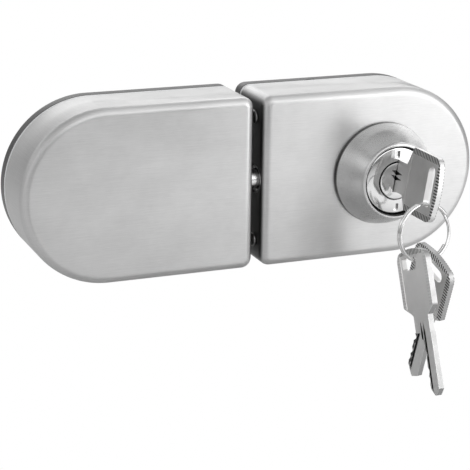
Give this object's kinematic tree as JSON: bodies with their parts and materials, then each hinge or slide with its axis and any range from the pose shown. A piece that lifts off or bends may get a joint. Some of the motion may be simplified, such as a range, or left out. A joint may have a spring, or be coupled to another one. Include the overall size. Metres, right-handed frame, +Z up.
{
  "type": "glass door lock",
  "caption": "Half-round clamp-on lock for a pair of glass doors: keyed cylinder with bolt on one half, strike on the other, keys on a split ring.",
  "frame": {"origin": "on the cylinder's axis, in the plane of the back covers' flat rear faces", "axes": "+X along the lock away from the strike half, +Y out of the back covers, +Z up; the key side faces -Y"},
  "size_m": [0.1825, 0.0947, 0.1052],
  "materials": {
    "satin_steel": "satin stainless steel",
    "back_steel": "dull stainless steel",
    "polished_chrome": "polished chrome plate",
    "cast_zinc": "plain zinc die casting",
    "screw_steel": "bright plated steel",
    "key_nickel": "nickel plated, satin",
    "clear_rubber": "pale translucent",
    "turned_brass": "turned"
  },
  "bodies": {
    "halves": {"bolt_bush": "turned_brass", "bolt_guide": "screw_steel", "cylinder_housing": "polished_chrome", "cylinder_nut": "screw_steel", "guide_screw_lower": "screw_steel", "guide_screw_upper": "screw_steel", "lock_back_cover": "back_steel", "lock_chassis": "cast_zinc", "lock_clamp_plate": "cast_zinc", "lock_clamp_screw_lower": "screw_steel", "lock_clamp_screw_outer": "screw_steel", "lock_clamp_screw_upper": "screw_steel", "lock_cover": "satin_steel", "lock_end_screw_lower": "screw_steel", "lock_end_screw_upper": "screw_steel", "lock_gasket": "clear_rubber", "lock_rose": "satin_steel", "strike_back_cover": "back_steel", "strike_bush": "turned_brass", "strike_chassis": "cast_zinc", "strike_clamp_plate": "cast_zinc", "strike_clamp_screw_lower": "screw_steel", "strike_clamp_screw_outer": "screw_steel", "strike_clamp_screw_upper": "screw_steel", "strike_cover": "satin_steel", "strike_end_screw_lower": "screw_steel", "strike_end_screw_upper": "screw_steel", "strike_gasket": "clear_rubber"},
    "plug": {"cylinder_plug": "polished_chrome", "cylinder_cam": "screw_steel", "cam_screw": "screw_steel", "plug_clip": "screw_steel", "key_in_lock": "key_nickel"},
    "bolt": {"bolt": "polished_chrome"},
    "ring": {"key_ring": "screw_steel"},
    "front_key": {"hanging_key_front": "key_nickel"},
    "rear_key": {"hanging_key_rear": "key_nickel"}
  },
  "joints": [
    {"name": "key_turn", "type": "hinge", "parent": "halves", "child": "plug", "pos_m": [0, -0.0432, 0], "axis": [0, 1, 0], "range_deg": [0, 90]},
    {"name": "bolt_throw", "type": "slide", "parent": "halves", "child": "bolt", "axis": [1, 0, 0], "range_m": [0, 0.01131]},
    {"name": "ring_swing", "type": "hinge", "parent": "plug", "child": "ring", "pos_m": [-0.00036, -0.06835, -0.00225], "axis": [-0.9877, 0, 0.1564], "range_deg": [-10, 45]},
    {"name": "front_key_swing", "type": "hinge", "parent": "ring", "child": "front_key", "pos_m": [-0.00621, -0.07085, -0.02269], "axis": [0.9118, 0.0642, -0.4057], "range_deg": [-20, 20]},
    {"name": "rear_key_swing", "type": "hinge", "parent": "ring", "child": "rear_key", "pos_m": [0.00003, -0.07023, -0.02346], "axis": [0.9772, 0.1237, 0.1723], "range_deg": [-20, 20]}
  ],
  "couplings": [
    {"joint": "bolt_throw", "follows": "key_turn", "m_per_rad": 0.0072025}
  ]
}
